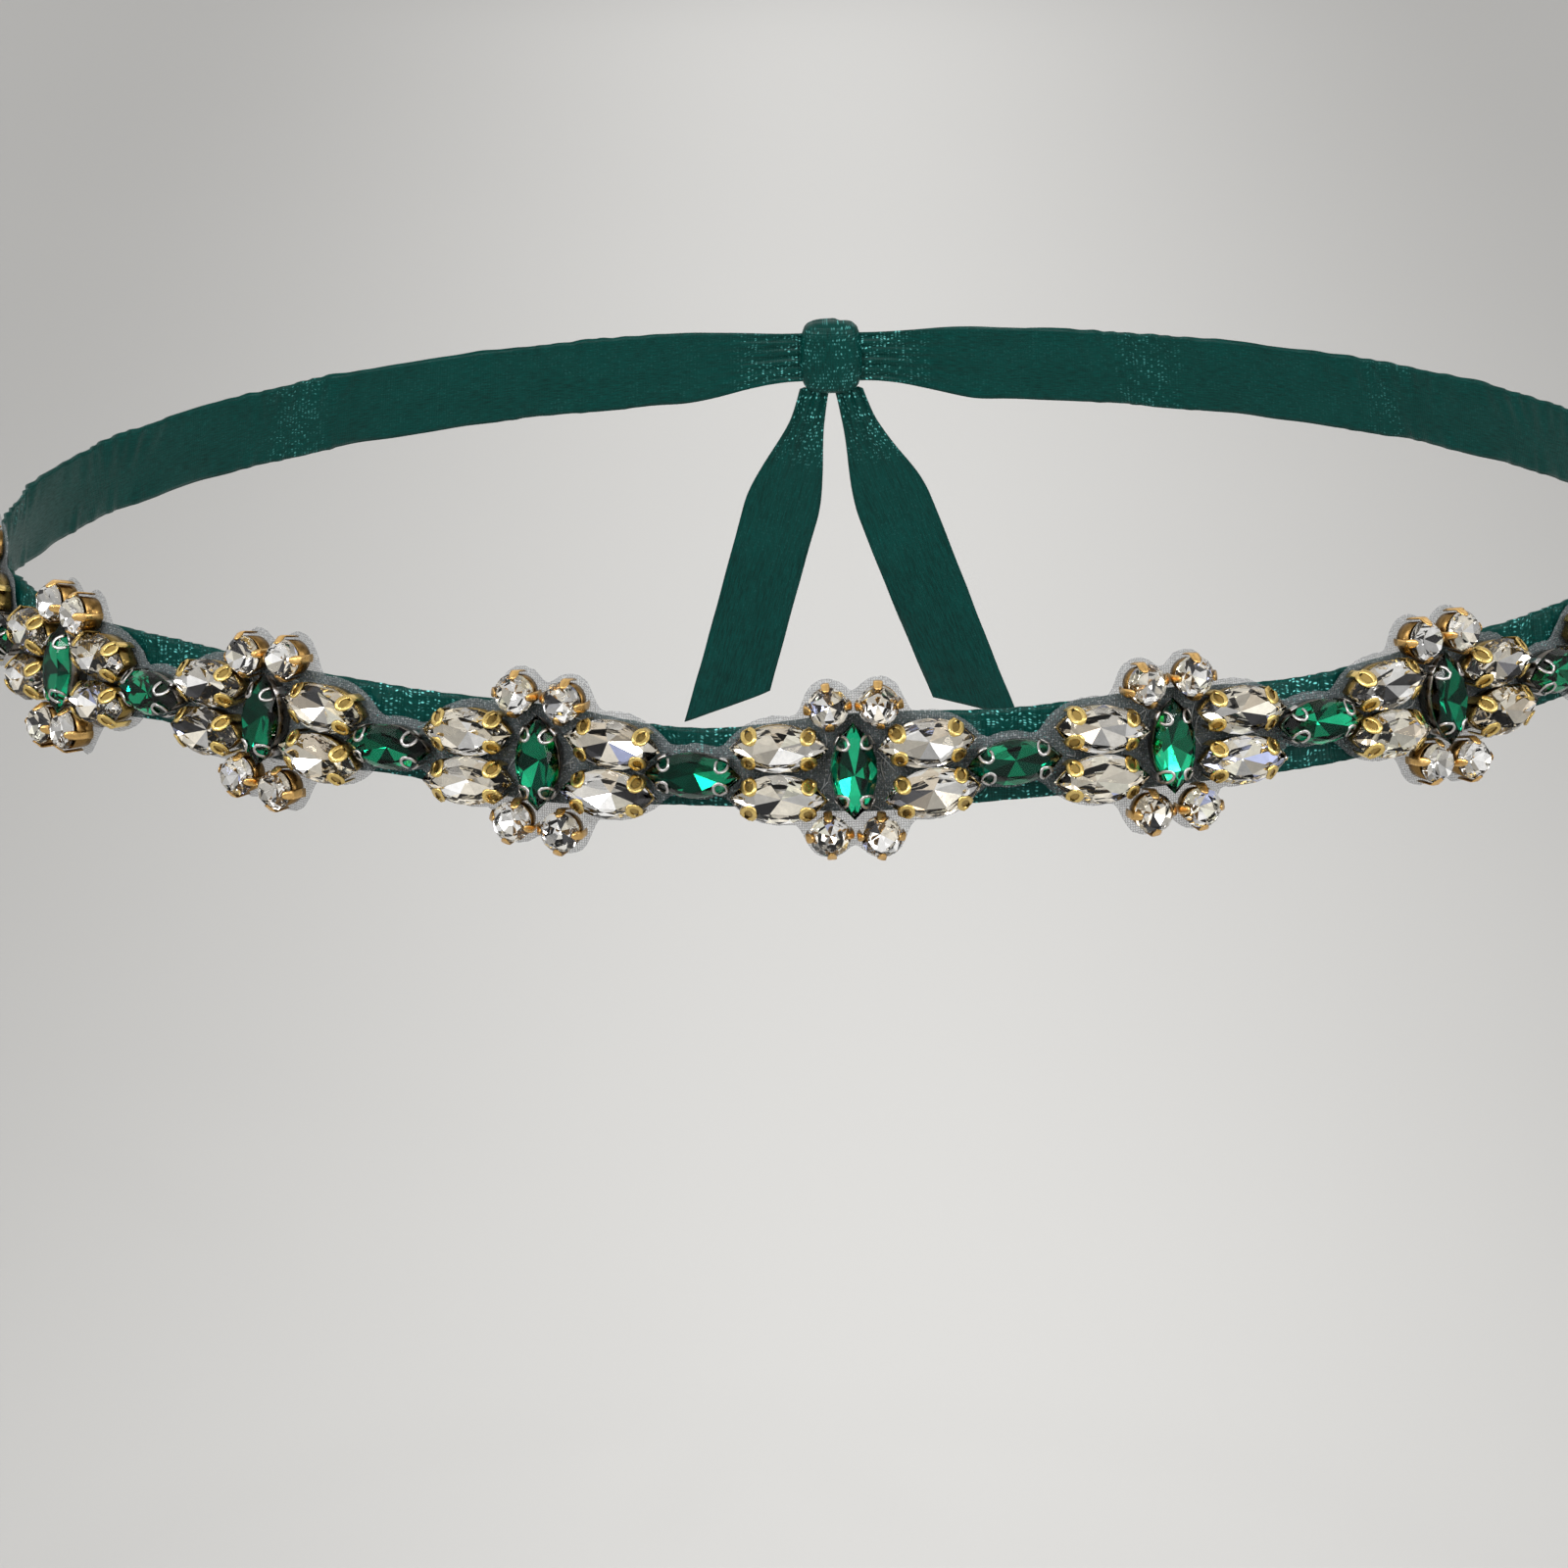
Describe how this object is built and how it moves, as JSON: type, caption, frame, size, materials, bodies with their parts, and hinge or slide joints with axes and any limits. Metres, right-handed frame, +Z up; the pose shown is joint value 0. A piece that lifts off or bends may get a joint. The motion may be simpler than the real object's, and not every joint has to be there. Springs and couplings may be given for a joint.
{
  "type": "bridal sash",
  "caption": "Narrow satin ribbon sash tied round the waist, its front set with a mesh-backed applique of green and clear cut stones in metal settings.",
  "frame": {"origin": "middle of the waist loop, level with the ribbon's centre line", "axes": "+Z up the wearer's body, front of the sash towards -Y, +X to the right as seen from the front"},
  "size_m": [0.3054, 0.288, 0.0967],
  "materials": {
    "ribbon_satin": "deep emerald satin ribbon with a fine lengthwise weave and small glints where it is pinched",
    "backing_tulle": "fine grey see-through mesh, cut round the stones",
    "emerald_stone": "foil-backed faceted green glass, very glossy",
    "clear_stone": "foil-backed faceted clear glass, very glossy, in gold cups",
    "gold_setting": "polished gold-coloured claw settings",
    "silver_setting": "polished silver-coloured claw settings"
  },
  "bodies": {
    "root": {"ribbon_band": "ribbon_satin", "ribbon_knot": "ribbon_satin", "ribbon_tail_left": "ribbon_satin", "ribbon_tail_right": "ribbon_satin", "backing": "backing_tulle", "centre_stone_1": "emerald_stone", "crystal_pair_left_1": "clear_stone", "crystal_pair_right_1": "clear_stone", "round_pair_top_1": "clear_stone", "round_pair_bottom_1": "clear_stone", "centre_stone_2": "emerald_stone", "crystal_pair_left_2": "clear_stone", "crystal_pair_right_2": "clear_stone", "round_pair_top_2": "clear_stone", "round_pair_bottom_2": "clear_stone", "centre_stone_3": "emerald_stone", "crystal_pair_left_3": "clear_stone", "crystal_pair_right_3": "clear_stone", "round_pair_top_3": "clear_stone", "round_pair_bottom_3": "clear_stone", "centre_stone_4": "emerald_stone", "crystal_pair_left_4": "clear_stone", "crystal_pair_right_4": "clear_stone", "round_pair_top_4": "clear_stone", "round_pair_bottom_4": "clear_stone", "centre_stone_5": "emerald_stone", "crystal_pair_left_5": "clear_stone", "crystal_pair_right_5": "clear_stone", "round_pair_top_5": "clear_stone", "round_pair_bottom_5": "clear_stone", "centre_stone_6": "emerald_stone", "crystal_pair_left_6": "clear_stone", "crystal_pair_right_6": "clear_stone", "round_pair_top_6": "clear_stone", "round_pair_bottom_6": "clear_stone", "centre_stone_7": "emerald_stone", "crystal_pair_left_7": "clear_stone", "crystal_pair_right_7": "clear_stone", "round_pair_top_7": "clear_stone", "round_pair_bottom_7": "clear_stone", "centre_stone_8": "emerald_stone", "crystal_pair_left_8": "clear_stone", "crystal_pair_right_8": "clear_stone", "round_pair_top_8": "clear_stone", "round_pair_bottom_8": "clear_stone", "centre_stone_9": "emerald_stone", "crystal_pair_left_9": "clear_stone", "crystal_pair_right_9": "clear_stone", "round_pair_top_9": "clear_stone", "round_pair_bottom_9": "clear_stone", "link_stone_1": "emerald_stone", "link_stone_2": "emerald_stone", "link_stone_3": "emerald_stone", "link_stone_4": "emerald_stone", "link_stone_5": "emerald_stone", "link_stone_6": "emerald_stone", "link_stone_7": "emerald_stone", "link_stone_8": "emerald_stone"}
  },
  "joints": []
}
